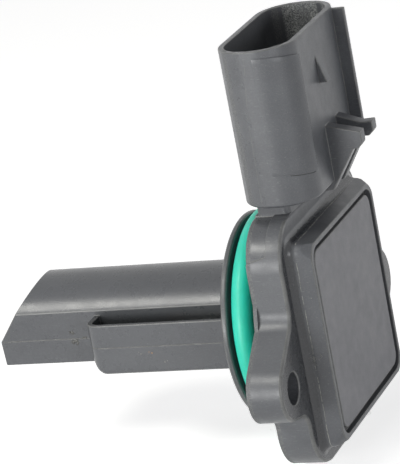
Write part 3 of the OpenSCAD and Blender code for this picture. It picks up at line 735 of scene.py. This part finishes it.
def sealantBead(look):
    # a strip between the lid's edge and the rim: across it the top sinks from both edges to the middle, and
    # along it the height ripples, eased at the end to meet its start; as many columns again close it below
    lidSize, seatSize = (lidHigh - lidLow)[1:], (seatHigh - seatLow)[1:]
    steps = look["cornerPoints"], look["sidePoints"]
    inner, _ = roundedLoop(*lidSize, look["innerCorner"], *steps)
    outer, _ = roundedLoop(*seatSize, look["outerCorner"], *steps)
    share = np.linspace(0, 1, look["columns"])
    share = np.concatenate([share, share[::-1]])
    top = np.concatenate([np.ones(look["columns"]), np.zeros(look["columns"])])
    dish = look["middleShare"] + (1 - look["middleShare"]) * (2 * share - 1) ** 2
    ripple = look["ripple"] * (roughRun(len(inner), look["bell"], look["seed"]) - 1)
    ripple += (ripple[0] - ripple[-1]) * np.linspace(0, 1, len(ripple)) ** 8
    height = top * ((seatHigh[0] - seatLow[0]) * dish + ripple[:, None])
    flat = inner[:, None] * (1 - share)[:, None] + outer[:, None] * share[:, None]
    middle = (seatHigh + seatLow)[1:] / 2
    points = np.concatenate([(seatLow[0] + height)[..., None], flat + middle], -1)
    return points.reshape(-1, 3), gridFaces(*height.shape, True, True)


newPiece("sealantBead", *sealantBead(beadLook), beadMaterial, "sealant", "lid_sealant")
print("ring and sealant laid")

padLook = {
    "bend": (5.66, -9.15, 6.62),    # centre x and y and radius of the pad's face, mm
    "edge": (-10.0, -10.4),         # y of its upright edge at the top and at the bottom
    "top": 50.13,                   # its height at y = -10
    "bottom": 29.27,
    "slope": 0.2126,                # how much higher both ends are for each mm further out
    "thick": 0.4,
    "softness": 0.07,               # rounding of its edges
    "crease": 40,                   # faces that meet at more degrees than this make an edge
    "columns": 40,
    "rows": 24,
}


def cornerPad(look):
    # a bent plate on the shell's corner: at angle a of its bend the face lies at the centre plus the radius
    # times (cos a, sin a), between a sloping bottom and a sloping top; a second face lies behind it
    x0, y0, radius = look["bend"]
    down = np.linspace(0, 1, look["rows"])[:, None]
    edge = look["edge"][0] + (look["edge"][1] - look["edge"][0]) * down
    last = np.arcsin((edge - y0) / radius)
    angle = -np.pi / 2 + (last + np.pi / 2) * np.linspace(0, 1, look["columns"])
    angle = np.concatenate([angle, angle[:, ::-1]], 1)
    reach = np.where(np.arange(2 * look["columns"]) < look["columns"], radius, radius - look["thick"])
    y = y0 + radius * np.sin(angle)
    raised = look["slope"] * (look["edge"][0] - y)
    z = look["top"] + (look["bottom"] - look["top"]) * down + raised
    points = np.stack([x0 + reach * np.cos(angle), y0 + reach * np.sin(angle), z], -1)
    return points.reshape(-1, 3), tubeFaces(*angle.shape)


padPiece = newPiece("cornerPad", *cornerPad(padLook), housingPlastic, "housing_plastic")
easeEdges(padPiece, padLook["softness"], 2, limit_method="ANGLE", angle_limit=math.radians(padLook["crease"]))

flashLook = {
    # what the mould's flash ridges share
    "width": 0.16,          # width at the root, mm
    "sunk": 0.03,           # how deep the root sits in the wall
    "bell": 2,              # over how many points on each side the heights are averaged
    "power": 1,
}


def tornHeights(look, count, more=0):
    # the full height times (lowest + (1 - lowest) times a rough run raised to a power), where a high power
    # leaves few burrs
    run = roughRun(count, look["bell"], look["seed"] + more) ** look["power"]
    return look["height"] * (look["lowest"] + (1 - look["lowest"]) * run)


def ridgeOn(path, outward, height, look, closed=False):
    # a low ridge whose section is a five-point hump, with its own height at each point of the path
    following = np.roll(path, -1, 0) - path if closed else np.gradient(path, axis=0)
    across = np.cross(following, outward)
    across /= np.linalg.norm(across, axis=1)[:, None]
    wide = look["width"] * np.array([-0.5, -0.3, 0, 0.3, 0.5])
    rise = np.array([0, 0.7, 1, 0.7, 0])
    sunk = look["sunk"] * np.array([-1, -0.6, -0.5, -0.6, -1])
    profile = np.stack([np.broadcast_to(wide, (len(path), 5)), height[:, None] * rise + sunk], -1)
    return carried(path, across, outward, profile, closed)


probeSeamLook = {
    **flashLook,
    "height": 0.065,
    "lowest": 0.1,
    "power": 2,
    "seed": 20,
    "tipGap": 0.4,          # how far from the tip it starts, mm
    "endX": -36.3,          # the pocket's end and the radius of its bend, mm
    "endR": 2.6,
    "points": {"side": 130, "end": 10, "bend": 14, "pocket": 170, "far": 240},
}


def probeSeam(look):
    # along the near side from the tip, round the pocket's end and out to the lip, then the far side, at z = 0
    tipX, lipX = probeLow[0] + look["tipGap"], housingLow[0] - 0.05
    pocketY, sideY, farY = coverLow[1], -coverHigh[1], coverHigh[1]
    endX, endR, count = look["endX"], look["endR"], look["points"]
    turn = np.linspace(np.pi, 1.5 * np.pi, count["bend"])
    end = np.linspace(sideY - 0.1, pocketY + endR, count["end"])
    pocket = np.linspace(endX + endR, lipX, count["pocket"])
    bend = np.stack([endX + endR + endR * np.cos(turn), pocketY + endR + endR * np.sin(turn)], 1)
    runs = [
        np.stack([np.linspace(tipX, endX - 0.1, count["side"]), np.full(count["side"], sideY)], 1),
        np.concatenate([
            np.stack([np.full(count["end"], endX), end], 1),
            bend[1:],
            np.stack([pocket, np.full(len(pocket), pocketY)], 1)[1:],
        ]),
        np.stack([np.linspace(tipX, lipX, count["far"]), np.full(count["far"], farY)], 1),
    ]
    parts = []
    for k, run in enumerate(runs):
        path = np.column_stack([run, np.zeros(len(run))])
        outward = np.cross(np.gradient(path, axis=0), (0, 0, 1.0)) * (-1 if k == 2 else 1)
        outward /= np.linalg.norm(outward, axis=1)[:, None]
        parts.append(ridgeOn(path, outward, tornHeights(look, len(path), k), look))
    return joined(parts)


newPiece("probeSeam", *probeSeam(probeSeamLook), tornPlastic, "housing_plastic")

boxFlashLook = {
    **flashLook,
    "height": 0.17,
    "lowest": 0.08,
    "power": 3,
    "seed": 6,
    "place": 8.2,           # its place along the probe's axis, mm
    "out": 1.58,            # how far the wall stands outside the lid's seat there, mm
    "corner": 1.93,         # mm
    "sway": 0.12,           # how far it wanders along the axis, mm
    "swayBell": 14,         # over how many points on each side that wandering is averaged
    "swaySeed": 5,
    "steps": (10, 170),     # points on a corner and on a side
}


def boxFlash(look):
    # a closed loop round the box's walls, just above their fillet: most of it is low and a few burrs stand up
    size = (seatHigh - seatLow)[1:] + 2 * look["out"]
    points, facing = roundedLoop(*size, look["corner"], *look["steps"])
    middle = (seatHigh + seatLow)[1:] / 2
    path = np.column_stack([np.full(len(points), look["place"]), points + middle])
    path[:, 0] += look["sway"] * (roughRun(len(path), look["swayBell"], look["swaySeed"]) - 0.5)
    outward = np.column_stack([np.zeros(len(facing)), facing])
    return ridgeOn(path, outward, tornHeights(look, len(path)), look, closed=True)


newPiece("boxFlash", *boxFlash(boxFlashLook), flashPlastic, "housing_plastic")

mouthFlashLook = {
    **flashLook,
    "height": 0.12,
    "lowest": 0.05,
    "power": 2.5,
    "seed": 7,
    "size": (12.4, 29.9),   # a little more than the socket's opening, mm
    "corner": 5.8,
    "centreX": 4.95,
    "steps": (24, 70),
}


def mouthFlash(look):
    # a loop on the socket's mouth, near its inner edge, broken into low chips
    points, _ = roundedLoop(*look["size"], look["corner"], *look["steps"])
    path = np.column_stack([points + (look["centreX"], 0), np.full(len(points), housingHigh[2])])
    upward = np.tile((0.0, 0.0, 1.0), (len(path), 1))
    return ridgeOn(path, upward, tornHeights(look, len(path)), look, closed=True)


newPiece("mouthFlash", *mouthFlash(mouthFlashLook), edgeWearAndHighlight, "housing_plastic")

shellSeamLook = {
    **flashLook,
    "height": 0.03,
    "lowest": 0.2,
    "bell": 5,
    "seed": 8,
    "bend": (4.55, -9.15, 6.6),     # centre x and y and radius of the shell's near corner, mm
    "way": ((25.8, 30, 40.8, 50.4), (2.75, 2.87, 3.12, 4.3)),       # heights, and the seam's x at each, mm
    "top": 51.6,
    "points": 160,
}


def shellSeam(look):
    # down the shell's near corner: at x the surface lies at its centre's y minus the arc's height there
    heights, places = look["way"]
    z = np.linspace(look["top"], heights[0], look["points"])
    x0, y0, radius = look["bend"]
    across = np.minimum(np.interp(z, heights, places) - x0, 0)
    y = y0 - np.sqrt(radius ** 2 - across ** 2)
    path = np.column_stack([x0 + across, y, z])
    outward = np.column_stack([across, y - y0, np.zeros(len(z))]) / radius
    return ridgeOn(path, outward, tornHeights(look, len(z)), look)


newPiece("shellSeam", *shellSeam(shellSeamLook), edgeWearAndHighlight, "housing_plastic")

padShadowLineLook = {
    "width": 0.13,
    "sunk": 0.02,
    "height": 0.035,
    "lowest": 0.4,
    "bell": 5,
    "power": 1,
    "seed": 11,
    "bend": (-9.15, 6.61),          # centre y and radius of the bend, mm
    # length round the bend, height and the bend's centre x: the pad's own at first, then the shell's
    "way": ((-0.84, 50.1, 5.65), (-1.24, 30.1, 5.65), (-1.29, 29.72, 5.6), (-1.7, 29.38, 5.4),
            (-2.2, 29.32, 5.35), (-6.9, 30.1, 5.35)),
    "points": 220,
}


def padShadowLine(look):
    # a thin near-black ridge that paints the shadow down the pad's upright edge and back below its foot: a
    # length round a bend, divided by the bend's radius, is the angle of its point
    way = np.array(look["way"])
    run = np.append(0, np.cumsum(np.hypot(*np.diff(way[:, :2], axis=0).T)))
    steps = np.linspace(0, run[-1], look["points"])
    y0, radius = look["bend"]
    around, z, x0 = (np.interp(steps, run, column) for column in way.T)
    angle = around / radius
    outward = np.column_stack([np.cos(angle), np.sin(angle), np.zeros(len(angle))])
    path = outward * radius + np.column_stack([x0, np.full(len(z), y0), z])
    return ridgeOn(path, outward, tornHeights(look, len(steps)), look)


newPiece("padShadowLine", *padShadowLine(padShadowLineLook), paintedShadowLine, "housing_plastic")

chipPlaces = {
    # place, the way out of the surface there, size in mm; of the pale ones the fifth lies inside the box's
    # foot, the seventh hangs free 1.6 mm beside the near ear, and the ninth 0.04 mm above the pocket's top
    "pale": [((-26.0, -14.1, -1.36), (0, -1, 0), 0.22), ((-21.7, -14.1, -3.1), (0, -1, 0), 0.26),
             ((-21.2, -14.1, -2.9), (0, -1, 0), 0.14), ((-26.4, -14.1, -1.0), (0, -1, 0), 0.12),
             ((7.4, 6.34, 18.6), (0, 0, 1), 0.3), ((9.6, -18.2, 9.0), (0, -1, 0), 0.12),
             ((3.2, -31.5, -9.5), (0, -1, 0), 0.13), ((-31.2, -14.1, 1.9), (0, -1, 0), 0.1),
             ((-17.2, -13.1, 4.3), (0, 0, 1), 0.16), ((5.2, -15.75, 33.0), (0, -1, 0), 0.1)],
    "copper": [((-23.87, -14.1, -1.27), (0, -1, 0), 0.2), ((-24.4, -14.1, -1.05), (0, -1, 0), 0.12)],
}
chipShape = {
    "rings": 7,
    "sides": 10,
    "rough": (0.6, 0.8),        # least radius, and how much chance adds to it
    "narrow": (0.6, 0.5),       # the same for its narrower side
    "flatten": 0.6,             # share of its thickness that is pressed away
}


def chipsAt(places, seed):
    # each chip is a flattened ball whose radius is roughened point by point, pressed onto its surface
    draw = np.random.default_rng(seed)
    tilt, turn = np.meshgrid(np.linspace(0, np.pi, chipShape["rings"]),
                             np.linspace(0, 2 * np.pi, chipShape["sides"], endpoint=False), indexing="ij")
    ball = np.stack([np.sin(tilt) * np.cos(turn), np.sin(tilt) * np.sin(turn), np.cos(tilt)], -1)
    parts = []
    for place, outward, size in places:
        rough = chipShape["rough"][0] + chipShape["rough"][1] * draw.random(tilt.shape)
        rough[0], rough[-1] = rough[0, 0], rough[-1, 0]
        stretch = np.array([1.0, chipShape["narrow"][0] + chipShape["narrow"][1] * draw.random(), 1.0])
        lump = ball * rough[..., None] * size / 2 * stretch
        out = np.array(outward, float)
        lump -= chipShape["flatten"] * (lump @ out)[..., None] * out
        points = lump.reshape(-1, 3) + np.array(place)
        parts.append((points, gridFaces(*tilt.shape, False, True)))
    return joined(parts)


scarLook = {
    # middle of each torn patch on the probe's near side, half its length and height in mm, how many crumbs
    "patches": [((-41.0, -8.5, -0.5), 0.95, 0.62, 34), ((-41.4, -8.5, 1.15), 0.75, 0.3, 12),
                ((-39.0, -8.5, 0.25), 0.5, 0.1, 5)],
    "crumb": (0.16, 0.46),      # smallest and largest, mm
    "seeds": (11, 12),
}


def gateScar(look):
    # crumbs of torn plastic where the gate was twisted off, each at a random turn and reach of its patch
    draw = np.random.default_rng(look["seeds"][0])
    places = []
    for (x, y, z), long, high, count in look["patches"]:
        turns, reaches = 2 * np.pi * draw.random(count), draw.random(count) ** 0.7
        sizes = draw.uniform(*look["crumb"], count)
        places += [((x + long * reach * math.cos(t), y, z + high * reach * math.sin(t)), (0, -1, 0), size)
                   for t, reach, size in zip(turns, reaches, sizes)]
    return chipsAt(places, look["seeds"][1])


newPiece("gateScar", *gateScar(scarLook), tornPlastic, "housing_plastic")
newPiece("paleChips", *chipsAt(chipPlaces["pale"], 1), hard["paleChip"], "housing_plastic")
newPiece("copperChips", *chipsAt(chipPlaces["copper"], 2), hard["copperChip"], "housing_plastic")

swarfLook = {
    # start of each thread on the box's walls, its length and how far it curls, in mm
    "threads": [((8.3, -18.62, -1.6), 2.2, 0.5), ((8.5, -18.64, -2.5), 1.7, 0.4),
                ((9.2, -18.3, -2.0), 1.5, 0.35), ((10.3, -3.3, -18.9), 1.0, 0.3)],
    "thick": 0.045,
    "sides": 6,
    "points": 30,
    "turns": 1.2,
    "gap": 0.02,        # how far its ends stand off the plane y of its start, mm
    "bow": 0.06,        # how much further its middle stands off, mm
    "sway": 0.4,        # how much of the curl shifts it along its length
}


def swarf(look):
    # a fine thread: it runs up the wall while its place swings with the sine and cosine of a growing turn
    section = np.linspace(0, 2 * np.pi, look["sides"], endpoint=False)
    profile = look["thick"] / 2 * np.stack([np.cos(section), np.sin(section)], 1)
    along = np.linspace(0, 1, look["points"])
    parts = []
    for k, (start, length, curl) in enumerate(look["threads"]):
        swing = 2 * look["turns"] * np.pi * along ** 1.5 + k
        path = np.array(start) + np.column_stack([
            curl * (np.cos(swing) - math.cos(k)),
            -look["gap"] - look["bow"] * np.sin(np.pi * along),
            length * (along - 0.5) + look["sway"] * curl * np.sin(swing)])
        across = np.cross(np.gradient(path, axis=0), (0, 1.0, 0))
        across /= np.linalg.norm(across, axis=1)[:, None]
        parts.append(carried(path, across, np.tile((0, 1.0, 0), (len(path), 1)), profile))
    return joined(parts)


newPiece("swarfThreads", *swarf(swarfLook), hard["paleChip"], "housing_plastic")
print("flash, scar, chips and threads added")

view = {
    "place": (187.848, -468.619, 175.678),      # mm
    "right": (0.92254, 0.33955, -0.18336),
    "up": (0.05923, 0.34492, 0.93676),
    "back": (0.38132, -0.87506, 0.29809),
    "lens": 231.7,
    "sensor": 36,
    "clip": (0.01, 100),                        # m
}
cameraData = bpy.data.cameras.new("studioCamera")
cameraData.lens = view["lens"]
cameraData.sensor_width = view["sensor"]
cameraData.clip_start, cameraData.clip_end = view["clip"]
camera = placed("studioCamera", cameraData)
turn = Matrix((view["right"], view["up"], view["back"])).transposed()
camera.matrix_world = Matrix.Translation(Vector(view["place"]) * mm) @ turn.to_4x4()
bpy.context.scene.camera = camera

lampSet = {
    # direction from the object, distance m, width m, height m, power W, colour
    "frontKey": ((-0.38, -0.91, 0.10), 0.80, 0.46, 0.20, 3.4, (1.0, 1.0, 0.99)),
    "warmStrip": ((-0.40, -0.56, 0.73), 0.75, 0.34, 0.18, 2.4, (1.0, 0.99, 0.93)),
    "rightFill": ((0.82, -0.55, 0.10), 0.80, 0.34, 0.24, 1.3, (0.97, 0.98, 1.0)),
    "backFill": ((0.78, 0.60, 0.25), 0.80, 0.40, 0.30, 0.8, (0.98, 0.99, 1.0)),
}
stageLook = {
    "lampAim": (-15, 0, 10),            # where the lamps point, mm
    "roomLight": (0.10, 0.10, 0.105),   # light that the room throws on things
    "roomSeen": (1, 1, 1),              # and what is seen of it
    "floorHalf": 4,                     # half of the floor's side, m
    "floorGap": 0.5,                    # how far it lies below the part, mm
    "floorColour": (0.9, 0.9, 0.9, 1),
    "floorRoughness": 0.9,
    "floorGlow": (0.7, 0.7, 0.7, 1),
}
for lampName, (direction, distance, width, height, power, colour) in lampSet.items():
    lampData = bpy.data.lights.new(lampName, "AREA")
    lampData.shape = "RECTANGLE"
    lampData.size, lampData.size_y = width, height
    lampData.energy = power
    lampData.color = colour
    lamp = placed(lampName, lampData)
    lamp.location = Vector(stageLook["lampAim"]) * mm + Vector(direction).normalized() * distance
    lamp.rotation_euler = Vector(direction).to_track_quat("Z", "Y").to_euler()


def whiteWhenSeen(tree):
    # 1 for what the camera sees, straight, mirrored or through glass; 0 for the light that falls on things
    rays = addNode(tree, "ShaderNodeLightPath").outputs
    seen = maths(tree, "MAXIMUM", rays["Is Camera Ray"], rays["Is Glossy Ray"])
    return maths(tree, "MAXIMUM", seen, rays["Is Transmission Ray"])


world = bpy.data.worlds.new("paleStudio")
bpy.context.scene.world = world
world.use_nodes = True
worldTree = world.node_tree
background = worldTree.nodes["Background"]
room = mixColours(worldTree, whiteWhenSeen(worldTree), stageLook["roomLight"], stageLook["roomSeen"])
worldTree.links.new(room, background.inputs["Color"])

floorZ = cadBox[0][2] - stageLook["floorGap"] * mm
side = stageLook["floorHalf"]
floor = placed("studioFloor", bpy.data.meshes.new("studioFloor"))
corners = [(x, y, floorZ) for x, y in ((-side, -side), (side, -side), (side, side), (-side, side))]
floor.data.from_pydata(corners, [], [(0, 1, 2, 3)])
floorMaterial, floorTree, floorShader = newMaterial("paleFloor")
floorShader.inputs["Base Color"].default_value = stageLook["floorColour"]
floorShader.inputs["Roughness"].default_value = stageLook["floorRoughness"]
floorShader.inputs["Specular IOR Level"].default_value = 0.0
floorShader.inputs["Emission Color"].default_value = stageLook["floorGlow"]
floorTree.links.new(whiteWhenSeen(floorTree), floorShader.inputs["Emission Strength"])
floor.data.materials.append(floorMaterial)
bpy.context.scene.view_settings.view_transform = "Standard"
print("stage, lamps and camera set")
